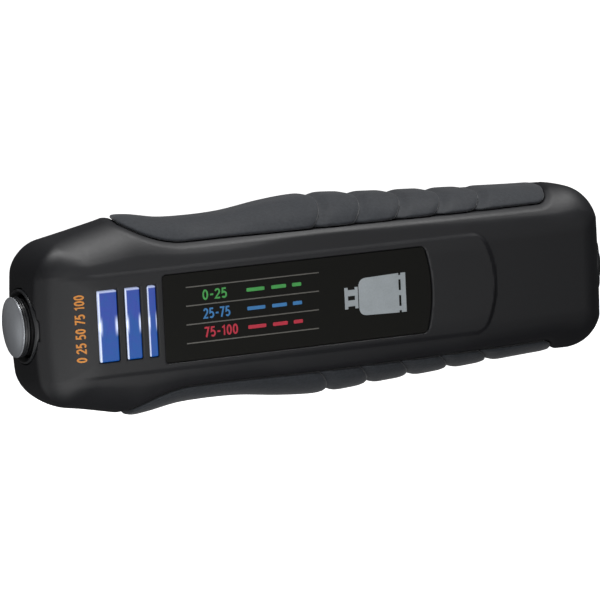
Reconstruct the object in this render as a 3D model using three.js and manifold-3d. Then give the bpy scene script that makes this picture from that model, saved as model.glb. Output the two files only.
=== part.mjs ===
// Handheld gas bottle level scanner, lying on its back.
// Millimetres. +X runs from the sensor end to the tail, +Z out of the display face.
// The origin is under the middle of the flat back.
import * as THREE from 'three';
import { mergeVertices } from 'three/addons/utils/BufferGeometryUtils.js';
import Module from 'manifold-3d';

const wasm = await Module();
wasm.setup();

// ---------- driving dimensions ----------
const GAP = 0.3; // clearance between neighbouring pieces

// Housing envelope
const FRONT_X = -71;
const TAIL_X = 73;
const THICKNESS = 28;
const TAIL_THICKNESS = 25;
const SLOPE_START_X = 42; // the display face starts to fall towards the tail here
const WIDEST_Z = 15;
const NOSE_RADIUS = 10.5; // lower front edge
const BROW_RADIUS = 3; // upper front edge
const FRONT_CORNER = 6; // plan radius of the front corners
const TAIL_CORNER = 9; // plan radius of the tail corners
const TAIL_EDGE = 6; // radius of the tail's upper and lower edges
const BAND_HALF = 11.9; // flat middle of the display face
const BEVEL_DROP = 2;
const SPLIT_Z = 6.5; // joint between the two shells
const GRIP_THICKNESS = 2.3;
const WALL = 2;
const FACE_WALL = 3;
const END_WALL = 4;

// Half-widths of the housing along X
const WIDTH_KNOTS = [
  [FRONT_X, 17.7],
  [-46, 23.4],
  [-28, 21.5],
  [-5, 23.5],
  [62, 20],
  [TAIL_X, 19.2],
];

// Edge between the shell and a grip, seen from above
const GRIP_SEAM = [
  [-51, 24],
  [-47, 21],
  [-42, 18.4],
  [-37, 17],
  [-30, 16.6],
  [54, 16.1],
  [57, 17.4],
  [59, 20],
  [60, 24],
];

// Display face
const PANEL = { x0: -41.2, x1: 24.5, half: 10.1, top: 27.5, thickness: 0.9, bulge: 1.6 };
const WINDOWS = [
  { name: 'window_wide', led: 'led_wide', x0: -57.2, x1: -52.6 },
  { name: 'window_middle', led: 'led_middle', x0: -50.5, x1: -47 },
  { name: 'window_narrow', led: 'led_narrow', x0: -45, x1: -43.1 },
];
const WINDOW_HALF = 8.1;
const WINDOW_Z = [25.3, 27.9];

// Sensor, on an axis along X
const SENSOR_Z = 14.5;
const PAD_RADIUS = 6.9;
const PAD_RIM_X = -72.8;
const PAD_DOME = 1.7;
const PAD_BACK_X = -71.2;
const COLLAR = { x0: -71.3, x1: -67.3, inner: 7.3, outer: 8.2, chamfer: 0.8 };
const PLUNGER = { x0: -70.9, x1: -62, outer: 6.6, inner: 5.6, floor0: -69.6, floor1: -68.4 };
const DISC = { x0: -70.9, x1: -69.9, radius: 5.2 };
const SEAL = { x0: -67, x1: -66, inner: 6.9, outer: 8.2 };
const GUIDE = { x0: -65.7, x1: -59, inner: 6.9, outer: 8.2, back: 1, hole: 2.8 };
const SENSOR_SPRING = { radius: 4.4, wire: 0.35, turns: 4 };

// Tail button, on an axis along X
const BUTTON_Z = 14.5;
const BUTTON = { x0: 67.6, rim: 73.6, tip: 74.5, radius: 6.5, stem: 2, stemX: 66.9 };
const BEZEL = { x0: 69.4, x1: 73.3, inner: 6.9, outer: 8.1 };
const SWITCH = { x0: 61.4, x1: 64.9, half: 3, z0: 11.5, z1: 17.6, bore: 1.5 };
const SWITCH_STEM = { x0: 64.2, x1: 66.6, radius: 1.2 };

// Two AAA cells under the circuit board
const CELL = { radius: 5.2, length: 44.5, nub: 1, nubRadius: 1.9, y: 5.9, z: 8.9 };
const BAY = { x0: 6.5, x1: 58, plate: 0.5, plateZ0: 3.6, plateZ1: 17.6, plateHalf: 4.6 };
const CELL_SPRING = { wire: 0.35, wide: 3.6, narrow: 2.2, turns: 3 };
const DOOR = { x0: 8.4, x1: 55.6, half: 11.1, z0: 0.3, z1: 2.4 };

const BOARD = { x0: -57.6, x1: 60.6, half: 13.2, z0: 18, z1: 19.6 };
const LIGHT_BOX = { x0: -58.1, x1: -42.2, half: 8.7, z0: 20, z1: 24.7 };
const CHIP = { x: -16, half: 3.5, height: 1.2 };
const LED = { half: 1.3, height: 1.2 };

const SCREW_PLACES = [
  [-61, 11.2],
  [-61, -11.2],
  [65.4, 11.2],
  [65.4, -11.2],
];
const SCREW = { head: 2.4, headZ0: 1, headZ1: 2.4, shank: 1.1, tipZ: 12.5 };
const POST = { radius: 2.6, z0: 6.8, bore: 1.4, boreTopZ: 14, counterbore: 2.8, ledgeZ: 2.7 };

const COLOURS = {
  shell: 0x24262a,
  rubber: 0x3a3e44,
  panel: 0x141412,
  window: 0x3a50d8,
  pad: 0x9aa2a8,
  metal: 0xb9bcc0,
  board: 0x1d5a34,
  black: 0x0d0e0f,
  cell: 0x6f7f95,
  white: 0xe6e6e2,
  brass: 0xc8a24a,
};

// ---------- solids ----------
function toSolid(geometry) {
  const bare = geometry.index ? geometry.clone() : geometry;
  bare.deleteAttribute('normal');
  bare.deleteAttribute('uv');
  const merged = mergeVertices(bare, 1e-4);
  return new wasm.Manifold(new wasm.Mesh({
    numProp: 3,
    vertProperties: new Float32Array(merged.attributes.position.array),
    triVerts: new Uint32Array(merged.index.array),
  }));
}

function toGeometry(solid) {
  const mesh = solid.getMesh();
  const geometry = new THREE.BufferGeometry();
  geometry.setAttribute('position', new THREE.BufferAttribute(mesh.vertProperties, 3));
  geometry.setIndex(new THREE.BufferAttribute(mesh.triVerts, 1));
  return geometry;
}

function boxGeometry(x0, x1, y0, y1, z0, z1) {
  const geometry = new THREE.BoxGeometry(x1 - x0, y1 - y0, z1 - z0);
  geometry.translate((x0 + x1) / 2, (y0 + y1) / 2, (z0 + z1) / 2);
  return geometry;
}

// A solid of revolution about an axis along X. Profile points are [x, radius].
function turnedGeometry(profile, y, z, sides = 32) {
  const points = profile.map(([x, radius]) => new THREE.Vector2(radius, -x));
  const geometry = new THREE.LatheGeometry(points, sides);
  geometry.rotateZ(Math.PI / 2);
  geometry.translate(0, y, z);
  return geometry;
}

function rodGeometry(x0, x1, radius, y, z, sides = 32) {
  return turnedGeometry([[x1, 0], [x1, radius], [x0, radius], [x0, 0]], y, z, sides);
}

function ringGeometry({ x0, x1, inner, outer }, y, z) {
  return turnedGeometry([[x1, inner], [x1, outer], [x0, outer], [x0, inner], [x1, inner]], y, z);
}

function postGeometry(x, y, z0, z1, radius, sides = 20) {
  const geometry = new THREE.CylinderGeometry(radius, radius, z1 - z0, sides);
  geometry.rotateX(Math.PI / 2);
  geometry.translate(x, y, (z0 + z1) / 2);
  return geometry;
}

function plateGeometry(outline, z0, z1) {
  const shape = new THREE.Shape(outline.map(([x, y]) => new THREE.Vector2(x, y)));
  const geometry = new THREE.ExtrudeGeometry(shape, { depth: z1 - z0, bevelEnabled: false });
  geometry.translate(0, 0, z0);
  return geometry;
}

// A coil about an axis along X, from x0 to x1, tapering from one radius to another
function coilGeometry(x0, x1, radius0, radius1, turns, wire, y, z) {
  const stepsPerTurn = 12;
  const points = [];
  for (let i = 0; i <= turns * stepsPerTurn; i += 1) {
    const part = i / (turns * stepsPerTurn);
    const angle = part * turns * 2 * Math.PI;
    const radius = THREE.MathUtils.lerp(radius0, radius1, part);
    const along = THREE.MathUtils.lerp(x0 + wire, x1 - wire, part);
    points.push(new THREE.Vector3(along, y + radius * Math.cos(angle), z + radius * Math.sin(angle)));
  }
  return wireGeometry(points, wire, turns * stepsPerTurn);
}

function wireGeometry(points, radius, steps) {
  const sides = 6;
  const shape = new THREE.Shape();
  for (let i = 0; i < sides; i += 1) {
    const angle = (2 * Math.PI * i) / sides;
    const corner = [radius * Math.cos(angle), radius * Math.sin(angle)];
    if (i === 0) shape.moveTo(...corner);
    else shape.lineTo(...corner);
  }
  const path = new THREE.CatmullRomCurve3(points);
  return new THREE.ExtrudeGeometry(shape, { steps, extrudePath: path });
}

// ---------- housing envelope ----------
function lerpKnots(knots, x) {
  for (let i = 1; i < knots.length; i += 1) {
    const [x0, a] = knots[i - 1];
    const [x1, b] = knots[i];
    if (x <= x1) {
      const part = (x - x0) / (x1 - x0);
      const curved = i === 2 || i === 3;
      return THREE.MathUtils.lerp(a, b, curved ? THREE.MathUtils.smoothstep(part, 0, 1) : part);
    }
  }
  return knots.at(-1)[1];
}

// How far a quarter-round edge stands back at a distance from the end of the body
function edgeSetback(distance, radius) {
  if (distance >= radius) return 0;
  return radius - Math.sqrt(radius * radius - (radius - distance) ** 2);
}

// Cross-section of the housing at x, drawn in by a side and a face inset
function sectionAt(x, inset) {
  const front = x - (FRONT_X + inset.end);
  const tail = TAIL_X - inset.end - x;
  const round = (radius) => Math.max(radius - inset.end, 1);
  const half = lerpKnots(WIDTH_KNOTS, x) - inset.side
    - edgeSetback(front, round(FRONT_CORNER)) - edgeSetback(tail, round(TAIL_CORNER));
  const slope = THREE.MathUtils.clamp((x - SLOPE_START_X) / (TAIL_X - SLOPE_START_X), 0, 1);
  const top = THREE.MathUtils.lerp(THICKNESS, TAIL_THICKNESS, slope) - inset.face
    - edgeSetback(front, round(BROW_RADIUS)) - edgeSetback(tail, round(TAIL_EDGE));
  const bottom = inset.face + edgeSetback(front, round(NOSE_RADIUS)) + edgeSetback(tail, round(TAIL_EDGE));
  const band = Math.min(BAND_HALF, half * 0.55);
  const seam = [half * 0.72, top - BEVEL_DROP];
  const foot = [half * 0.55, bottom];
  const side = [[0, top], [band, top], seam];
  const upperSteps = 4;
  for (let i = 1; i <= upperSteps; i += 1) {
    const angle = (Math.PI / 2) * (i / upperSteps);
    const y = seam[0] + (half - seam[0]) * Math.sin(angle);
    side.push([y, WIDEST_Z + (seam[1] - WIDEST_Z) * Math.cos(angle)]);
  }
  const lowerSteps = 5;
  for (let i = 1; i <= lowerSteps; i += 1) {
    const angle = (Math.PI / 2) * (i / lowerSteps);
    const y = foot[0] + (half - foot[0]) * Math.cos(angle);
    side.push([y, WIDEST_Z - (WIDEST_Z - foot[1]) * Math.sin(angle)]);
  }
  side.push([0, bottom]);
  const mirrored = side.slice(1, -1).reverse().map(([y, z]) => [-y, z]);
  return [...side, ...mirrored];
}

// Stations along X: close together round the two ends, wider between
function stations(end) {
  const roundSteps = 5;
  const places = [];
  for (let i = 0; i <= roundSteps; i += 1) {
    const angle = (Math.PI / 2) * (i / roundSteps);
    places.push(FRONT_X + end + (NOSE_RADIUS - end) * (1 - Math.cos(angle)));
  }
  places.push(-55, -50, -46, -43, -40, -36, -32, -28, -20, -12, -5, 4, 20, 42, 56);
  for (let i = roundSteps; i >= 0; i -= 1) {
    const angle = (Math.PI / 2) * (i / roundSteps);
    places.push(TAIL_X - end - (TAIL_CORNER - end) * (1 - Math.cos(angle)));
  }
  return places;
}

function housingSolid(inset) {
  const positions = [];
  const faces = [];
  const places = stations(inset.end);
  const count = sectionAt(0, inset).length;
  places.forEach((x) => {
    sectionAt(x, inset).forEach(([y, z]) => positions.push(x, y, z));
  });
  for (let s = 0; s < places.length - 1; s += 1) {
    for (let i = 0; i < count; i += 1) {
      const a = s * count + i;
      const b = s * count + ((i + 1) % count);
      faces.push(a, b + count, b, a, a + count, b + count);
    }
  }
  const last = (places.length - 1) * count;
  for (let i = 1; i < count - 1; i += 1) {
    faces.push(0, i, i + 1);
    faces.push(last, last + i + 1, last + i);
  }
  const geometry = new THREE.BufferGeometry();
  geometry.setAttribute('position', new THREE.Float32BufferAttribute(positions, 3));
  geometry.setIndex(faces);
  return toSolid(geometry);
}

function cut(solid, ...geometries) {
  return geometries.reduce((rest, geometry) => rest.subtract(toSolid(geometry)), solid);
}

// Plan area that a grip covers, on one side, grown by a margin
function gripArea(side, margin, z0) {
  const outer = 30;
  const seam = GRIP_SEAM.map(([x, y], i) => {
    const shift = i === 0 ? -margin : (i >= GRIP_SEAM.length - 2 ? margin : 0);
    return [x + shift, side * (y - margin)];
  });
  const [firstX] = seam[0];
  const [lastX] = seam.at(-1);
  const outline = [[firstX, side * outer], ...seam, [lastX, side * outer]];
  return toSolid(plateGeometry(outline, z0, THICKNESS + 2));
}

function windowGeometry({ x0, x1 }, margin) {
  return boxGeometry(x0 - margin, x1 + margin, -WINDOW_HALF - margin, WINDOW_HALF + margin, ...WINDOW_Z);
}

// The display panel's right end bows outwards
function panelOutline(margin) {
  const outline = [];
  const steps = 8;
  const half = PANEL.half + margin;
  for (let i = 0; i <= steps; i += 1) {
    const part = (2 * i) / steps - 1;
    outline.push([PANEL.x1 + margin + PANEL.bulge * (1 - part * part), half * part]);
  }
  outline.push([PANEL.x0 - margin, half], [PANEL.x0 - margin, -half]);
  return outline;
}

// ---------- assembly ----------
const group = new THREE.Group();

function add(name, geometry, colour, roughness, metalness = 0) {
  const material = new THREE.MeshStandardMaterial({ color: colour, roughness, metalness });
  const mesh = new THREE.Mesh(geometry, material);
  mesh.name = name;
  group.add(mesh);
}

function addHousing() {
  const reach = 100;
  const outer = housingSolid({ side: 0, face: 0, end: 0 });
  const underGrip = housingSolid({ side: GRIP_THICKNESS + GAP, face: 0.7 + GAP, end: 1 + GAP });
  const gripBed = housingSolid({ side: GRIP_THICKNESS, face: 0.7, end: 1 });
  const cavity = housingSolid({ side: GRIP_THICKNESS + GAP + WALL, face: FACE_WALL, end: END_WALL });
  const above = toSolid(boxGeometry(-reach, reach, -reach, reach, SPLIT_Z + GAP, reach));
  const below = toSolid(boxGeometry(-reach, reach, -reach, reach, -reach, SPLIT_Z));

  let front = outer;
  [1, -1].forEach((side) => {
    front = front.subtract(gripArea(side, GAP, -1));
    const grip = outer.intersect(gripArea(side, 0, SPLIT_Z + GAP)).subtract(gripBed);
    add(side > 0 ? 'grip_left' : 'grip_right', toGeometry(grip), COLOURS.rubber, 0.85);
  });
  front = front.add(underGrip).subtract(cavity).intersect(above);
  SCREW_PLACES.forEach(([x, y]) => {
    const post = toSolid(postGeometry(x, y, POST.z0, THICKNESS - FACE_WALL, POST.radius));
    front = front.add(post.intersect(gripBed));
  });
  SCREW_PLACES.forEach(([x, y]) => {
    front = cut(front, postGeometry(x, y, POST.z0 - 1, POST.boreTopZ, POST.bore));
  });
  front = cut(
    front,
    plateGeometry(panelOutline(GAP), PANEL.top - PANEL.thickness - GAP, THICKNESS + 1),
    ...WINDOWS.map((pane) => boxGeometry(
      pane.x0 - GAP, pane.x1 + GAP, -WINDOW_HALF - GAP, WINDOW_HALF + GAP, WINDOW_Z[0] - 1, THICKNESS + 1,
    )),
    rodGeometry(FRONT_X - 3, FRONT_X + END_WALL + 1, COLLAR.outer + GAP, 0, SENSOR_Z),
    rodGeometry(TAIL_X - END_WALL - 1, TAIL_X + 3, BEZEL.outer + GAP, 0, BUTTON_Z),
  );
  add('front_shell', toGeometry(front), COLOURS.shell, 0.42);

  let rear = outer.intersect(below).subtract(cavity);
  SCREW_PLACES.forEach(([x, y]) => {
    rear = cut(
      rear,
      postGeometry(x, y, -1, POST.ledgeZ, POST.counterbore),
      postGeometry(x, y, -1, FACE_WALL + 4, POST.bore),
    );
  });
  rear = cut(
    rear,
    boxGeometry(DOOR.x0 - GAP, DOOR.x1 + GAP, -DOOR.half - GAP, DOOR.half + GAP, -1, FACE_WALL + 1),
    rodGeometry(FRONT_X - 3, FRONT_X + END_WALL + 1, COLLAR.outer + GAP, 0, SENSOR_Z),
    rodGeometry(TAIL_X - END_WALL - 1, TAIL_X + 3, BEZEL.outer + GAP, 0, BUTTON_Z),
  );
  add('rear_shell', toGeometry(rear), COLOURS.shell, 0.5);
}

function addDisplay() {
  const panel = plateGeometry(panelOutline(0), PANEL.top - PANEL.thickness, PANEL.top);
  add('display_panel', panel, COLOURS.panel, 0.35);
  WINDOWS.forEach((pane) => {
    add(pane.name, windowGeometry(pane, 0), COLOURS.window, 0.2);
    const x = (pane.x0 + pane.x1) / 2;
    const half = Math.min(LED.half, (pane.x1 - pane.x0) / 2);
    const base = BOARD.z1 + GAP;
    add(pane.led, boxGeometry(x - half, x + half, -LED.half, LED.half, base, base + LED.height), COLOURS.white, 0.4);
  });
  const { x0, x1, half, z0, z1 } = LIGHT_BOX;
  const frame = cut(
    toSolid(boxGeometry(x0, x1, -half, half, z0, z1)),
    ...WINDOWS.map((pane) => boxGeometry(
      pane.x0 - GAP, pane.x1 + GAP, -WINDOW_HALF, WINDOW_HALF, z0 - 1, z1 + 1,
    )),
  );
  add('light_box', toGeometry(frame), COLOURS.white, 0.6);
}

function addSensor() {
  const domeSteps = 5;
  const pad = [[PAD_BACK_X, 0], [PAD_BACK_X, PAD_RADIUS - 0.3], [PAD_RIM_X + 0.4, PAD_RADIUS - 0.3]];
  pad.push([PAD_RIM_X + 0.4, PAD_RADIUS]);
  for (let i = 0; i < domeSteps; i += 1) {
    const part = 1 - i / domeSteps;
    pad.push([PAD_RIM_X - PAD_DOME * (1 - part * part), PAD_RADIUS * part]);
  }
  pad.push([PAD_RIM_X - PAD_DOME, 0]);
  add('sensor_pad', turnedGeometry(pad, 0, SENSOR_Z), COLOURS.pad, 0.4);

  const { x0, x1, inner, outer, chamfer } = COLLAR;
  const collar = [[x1, inner], [x1, outer], [x0 + chamfer, outer], [x0, inner + 0.2], [x0, inner], [x1, inner]];
  add('sensor_collar', turnedGeometry(collar, 0, SENSOR_Z), COLOURS.shell, 0.4);

  const p = PLUNGER;
  const plunger = [
    [p.floor1, 0], [p.floor1, p.inner], [p.x1, p.inner], [p.x1, p.outer],
    [p.x0, p.outer], [p.x0, p.inner], [p.floor0, p.inner], [p.floor0, 0],
  ];
  add('sensor_plunger', turnedGeometry(plunger, 0, SENSOR_Z), COLOURS.white, 0.5);
  add('transducer_disc', rodGeometry(DISC.x0, DISC.x1, DISC.radius, 0, SENSOR_Z), COLOURS.brass, 0.3, 0.8);
  add('sensor_seal', ringGeometry(SEAL, 0, SENSOR_Z), COLOURS.black, 0.9);

  const g = GUIDE;
  const guide = [
    [g.x1, g.hole], [g.x1, g.outer], [g.x0, g.outer], [g.x0, g.inner],
    [g.x1 - g.back, g.inner], [g.x1 - g.back, g.hole], [g.x1, g.hole],
  ];
  add('sensor_guide', turnedGeometry(guide, 0, SENSOR_Z), COLOURS.black, 0.6);

  const { radius, turns, wire } = SENSOR_SPRING;
  const spring = coilGeometry(p.floor1 + GAP, g.x1 - g.back - GAP, radius, radius, turns, wire, 0, SENSOR_Z);
  add('sensor_spring', spring, COLOURS.metal, 0.3, 1);

  [1, -1].forEach((side) => {
    const y = side * 1.4;
    const route = [
      new THREE.Vector3(-66.2, y, SENSOR_Z),
      new THREE.Vector3(-61, y, SENSOR_Z),
      new THREE.Vector3(-57, y, SENSOR_Z + 0.4),
      new THREE.Vector3(-55.4, y, BOARD.z0 - 1.8),
      new THREE.Vector3(-55.2, y, BOARD.z0 - GAP),
    ];
    const name = side > 0 ? 'sensor_lead_left' : 'sensor_lead_right';
    add(name, wireGeometry(route, 0.45, 14), side > 0 ? 0xb02020 : COLOURS.black, 0.6);
  });
}

function addButton() {
  const b = BUTTON;
  const button = [
    [b.stemX, 0], [b.stemX, b.stem], [b.x0, b.stem], [b.x0, b.radius],
    [b.rim, b.radius], [b.rim + 0.5, b.radius - 0.6], [b.tip, b.radius * 0.6], [b.tip, 0],
  ].reverse();
  add('power_button', turnedGeometry(button, 0, BUTTON_Z), COLOURS.black, 0.5);
  add('button_bezel', ringGeometry(BEZEL, 0, BUTTON_Z), COLOURS.shell, 0.4);
  const body = cut(
    toSolid(boxGeometry(SWITCH.x0, SWITCH.x1, -SWITCH.half, SWITCH.half, SWITCH.z0, SWITCH.z1)),
    rodGeometry(SWITCH.x0 + 0.8, SWITCH.x1 + 1, SWITCH.bore, 0, BUTTON_Z, 16),
  );
  add('switch_body', toGeometry(body), COLOURS.black, 0.5);
  const { x0, x1, radius } = SWITCH_STEM;
  add('switch_stem', rodGeometry(x0, x1, radius, 0, BUTTON_Z, 16), COLOURS.white, 0.5);
}

// A cell with its nub towards +X (direction 1) or -X (direction -1), starting at x
function cellGeometry(x, y, direction) {
  const { radius, length, nub, nubRadius, z } = CELL;
  const body = length - nub;
  const start = direction > 0 ? x : x + nub;
  const tip = direction > 0 ? start + body + nub : start - nub;
  const shoulder = direction > 0 ? start + body : start;
  const far = direction > 0 ? start : start + body;
  const profile = [[tip, 0], [tip, nubRadius], [shoulder, nubRadius], [shoulder, radius], [far, radius], [far, 0]];
  return turnedGeometry(direction > 0 ? profile : profile.reverse(), y, z, 28);
}

function addPower() {
  const { x0, x1, plate, plateZ0, plateZ1, plateHalf } = BAY;
  const headEnd = x0 + plate + GAP;
  const tailEnd = x1 - plate - GAP;
  const { wide, narrow, turns, wire } = CELL_SPRING;
  add('battery_1', cellGeometry(headEnd, CELL.y, -1), COLOURS.cell, 0.4, 0.4);
  add('battery_2', cellGeometry(tailEnd - CELL.length, -CELL.y, 1), COLOURS.cell, 0.4, 0.4);
  const spring1 = coilGeometry(headEnd + CELL.length + GAP, tailEnd, narrow, wide, turns, wire, CELL.y, CELL.z);
  const spring2 = coilGeometry(headEnd, tailEnd - CELL.length - GAP, wide, narrow, turns, wire, -CELL.y, CELL.z);
  add('contact_spring_1', spring1, COLOURS.metal, 0.3, 1);
  add('contact_spring_2', spring2, COLOURS.metal, 0.3, 1);
  const plates = [
    ['contact_positive', x0, CELL.y - plateHalf, CELL.y + plateHalf],
    ['contact_negative', x0, -CELL.y - plateHalf, -CELL.y + plateHalf],
    ['contact_bridge', x1 - plate, -CELL.y - plateHalf, CELL.y + plateHalf],
  ];
  plates.forEach(([name, x, y0, y1]) => {
    add(name, boxGeometry(x, x + plate, y0, y1, plateZ0, plateZ1), COLOURS.metal, 0.3, 1);
  });
  add('battery_door', boxGeometry(DOOR.x0, DOOR.x1, -DOOR.half, DOOR.half, DOOR.z0, DOOR.z1), COLOURS.shell, 0.5);
}

function addBoard() {
  const { x0, x1, half, z0, z1 } = BOARD;
  add('main_board', boxGeometry(x0, x1, -half, half, z0, z1), COLOURS.board, 0.6);
  const base = z1 + GAP;
  const chip = boxGeometry(
    CHIP.x - CHIP.half, CHIP.x + CHIP.half, -CHIP.half, CHIP.half, base, base + CHIP.height,
  );
  add('controller_chip', chip, COLOURS.black, 0.5);
}

function addScrews() {
  SCREW_PLACES.forEach(([x, y], i) => {
    const head = toSolid(postGeometry(x, y, SCREW.headZ0, SCREW.headZ1, SCREW.head));
    const shank = toSolid(postGeometry(x, y, SCREW.headZ1 - 0.5, SCREW.tipZ, SCREW.shank, 12));
    add(`screw_${i + 1}`, toGeometry(head.add(shank)), COLOURS.metal, 0.35, 1);
  });
}

addHousing();
addDisplay();
addSensor();
addButton();
addPower();
addBoard();
addScrews();

export default group;
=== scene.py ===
"""Handheld gas bottle level scanner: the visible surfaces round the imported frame."""
import bpy, math
import numpy as np
from mathutils import Matrix, Vector


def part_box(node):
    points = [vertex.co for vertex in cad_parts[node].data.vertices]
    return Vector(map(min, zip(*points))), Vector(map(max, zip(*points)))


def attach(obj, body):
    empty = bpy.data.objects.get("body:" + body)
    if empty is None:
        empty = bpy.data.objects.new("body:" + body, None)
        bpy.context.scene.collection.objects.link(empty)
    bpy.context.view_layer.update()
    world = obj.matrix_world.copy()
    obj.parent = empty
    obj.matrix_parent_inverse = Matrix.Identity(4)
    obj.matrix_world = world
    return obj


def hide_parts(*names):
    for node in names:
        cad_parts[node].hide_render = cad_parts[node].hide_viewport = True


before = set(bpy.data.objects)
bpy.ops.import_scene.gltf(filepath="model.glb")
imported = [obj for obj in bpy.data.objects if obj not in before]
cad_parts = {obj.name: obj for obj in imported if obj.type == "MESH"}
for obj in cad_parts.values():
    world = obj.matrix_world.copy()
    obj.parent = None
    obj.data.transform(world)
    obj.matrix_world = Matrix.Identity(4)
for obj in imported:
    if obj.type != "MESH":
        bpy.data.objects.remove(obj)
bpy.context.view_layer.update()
MM = 0.001


# ---------- places taken from the frame, in millimetres ----------
def box_mm(node):
    low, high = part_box(node)
    return np.array(low) / MM, np.array(high) / MM


def middle_mm(node):
    low, high = box_mm(node)
    return (low + high) / 2


FRONT_X, TAIL_X = box_mm("front_shell")[0][0], box_mm("front_shell")[1][0]
TOP_Z = box_mm("front_shell")[1][2]
SPLIT_Z = (box_mm("front_shell")[0][2] + box_mm("rear_shell")[1][2]) / 2
SHOULDER_HALF = box_mm("grip_left")[1][1]
SENSOR_Z = middle_mm("sensor_pad")[2]
BUTTON_Z = middle_mm("power_button")[2]
PANEL_LOW, PANEL_HIGH = box_mm("display_panel")
DOOR_LOW, DOOR_HIGH = box_mm("battery_door")
SCREWS = ["screw_1", "screw_2", "screw_3", "screw_4"]
WINDOWS = ["window_wide", "window_middle", "window_narrow"]


# ---------- implicit shapes: each function gives a distance, negative inside ----------
def fillet_max(a, b, radius):
    """Intersection of two solids, with the edge between them rounded."""
    outside = np.hypot(np.maximum(a + radius, 0), np.maximum(b + radius, 0))
    return np.minimum(np.maximum(a, b), -radius) + outside


def ramp(x, start, end):
    """0 before the start, 1 after the end, and a soft step between."""
    part = np.clip((x - start) / (end - start), 0, 1)
    return part * part * (3 - 2 * part)


def through(knots, x):
    """Smooth curve through (place, value) knots."""
    places, values = np.array(knots, float).T
    slopes = np.gradient(values, places)
    i = np.clip(np.searchsorted(places, x) - 1, 0, len(places) - 2)
    span = places[i + 1] - places[i]
    t = np.clip((x - places[i]) / span, 0, 1)
    rise = (1 + 2 * t) * (1 - t) ** 2 * values[i] + t * t * (3 - 2 * t) * values[i + 1]
    return rise + t * (1 - t) ** 2 * span * slopes[i] - t * t * (1 - t) * span * slopes[i + 1]


def block(x, y, z, low, high):
    """Box between two corners."""
    return np.maximum.reduce([low[0] - x, x - high[0], low[1] - y, y - high[1], low[2] - z, z - high[2]])


# Half-width of the body along X: narrow nose, shoulders, waist, belly, slow taper to the tail
HALF_WIDTHS = [
    (-71, 17.6), (-60, 19.8), (-50, 22.0), (-46, 22.9), (-43, 22.6), (-35, 21.2), (-28, 20.9),
    (-20, 21.1), (-9, 22.4), (-3, 22.9), (20, 21.8), (45, 20.3), (60, 19.6), (73, 19.4),
]
WAIST_X = -33.0
SEAM_HALF = 16.6
# the seam runs out to the side over this length, towards the shoulders
SEAM_LEAD, SEAM_SPREAD = 18, 7.4
# the rubber runs on past the CAD grips, which end near 59
GRIP_END_X = 61.4
GRIP_THICKNESS = 2.3
GAP = 0.12
BAND_HALF, BAND_END_X, BAND_RISE = 11.9, 43.0, 0.6
FALL_START_X, FALL_LENGTH, FALL_DEPTH = 34, 38, 2.3
BEVEL_HALF = 12.4
NOSE_RADIUS, TAIL_RADIUS = 6.0, 8.0
WALL = 2.4
SHARP_ANGLE = math.radians(38)
PANEL_BOW, PANEL_CORNER = 1.6, 0.9
SENSOR_OPENING, BUTTON_OPENING = 8.7, 8.4
PAD_RIM_X, PAD_DOME = -72.8, 1.7
BUTTON_RIM_X, BUTTON_BACK_X = 73.6, 67.6


def body_half(x):
    return through(HALF_WIDTHS, x)


def top_height(x):
    """Height of the face beside the raised band: level, then falling to the tail."""
    return TOP_Z - BAND_RISE - FALL_DEPTH * np.clip((x - FALL_START_X) / FALL_LENGTH, 0, 1) ** 1.3


def body(x, y, z, half):
    """The body as one smooth solid, with the given half-width."""
    belly = 0.010 - 0.006 * ramp(x, -22, -4)
    side = np.abs(y) - half + belly * (z - 15) ** 2
    front = FRONT_X + 0.0045 * (z - 13) ** 2 + 0.0035 * y * y - x
    tail = x - TAIL_X - 0.25 + 0.0008 * y * y + 0.004 * (z - 13) ** 2
    plan = fillet_max(fillet_max(front, side, NOSE_RADIUS), tail, TAIL_RADIUS)
    low = fillet_max(plan, -z, 9.0 + 1.5 * ramp(x, -66, -46) - 3.5 * ramp(x, 20, 60))
    top = z - top_height(x)
    bevel = (np.abs(y) - BEVEL_HALF) * 0.37 + top * 0.929
    lid = fillet_max(top, bevel, 1.2)
    # the face rolls down into the nose
    lid = fillet_max(lid, (FRONT_X - x) * 0.6 + top * 0.8 + 2.4, 6.0)
    brow = 2.8 + 5.0 * ramp(x, FRONT_X + 2, FRONT_X + 14) - 2.5 * ramp(x, TAIL_X - 14, TAIL_X - 2)
    return fillet_max(low, lid, brow)


def outer_body(x, y, z):
    return body(x, y, z, body_half(x))


def seam_half(x):
    """Where the edge between shell and grip runs, seen from above."""
    lead = np.maximum(0, (WAIST_X - x) / SEAM_LEAD)
    return SEAM_HALF + SEAM_SPREAD * lead ** 2 - 0.006 * np.maximum(x, 0)


def grip_area(x, y, z):
    """Plan distance to the grip's edge, negative where the grip is.

    Low on the side the edge leans to the tail.
    """
    x = x - 0.25 * np.clip(18 - z, 0, 12)
    lead = np.maximum(0, (WAIST_X - x) / SEAM_LEAD)
    slope = 2 * SEAM_SPREAD * lead / SEAM_LEAD
    across = (seam_half(x) - np.abs(y)) / np.sqrt(1 + slope * slope)
    return fillet_max(across, x - GRIP_END_X, 4.5)


def band_lift(x, y):
    """How far the flat middle of the face, with the windows and the panel, stands above the rest."""
    edge = fillet_max(np.abs(y) - BAND_HALF, x - BAND_END_X + 0.025 * y * y, 2.5)
    height = (TOP_Z - top_height(x)) * ramp(x, FRONT_X + 3, FRONT_X + 16)
    return height * (1 - ramp(edge, -1.0, 0.4))


def end_openings(x, y, z):
    """Round openings for the sensor and the button, positive inside them."""
    sensor = np.hypot(y, z - SENSOR_Z) - SENSOR_OPENING
    button = np.hypot(y, z - BUTTON_Z) - BUTTON_OPENING
    front = np.maximum.reduce([sensor, FRONT_X - 9 - x, x - FRONT_X - 5])
    back = np.maximum.reduce([button, TAIL_X - 5 - x, x - TAIL_X - 9])
    return np.maximum(-front, -back)


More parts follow.
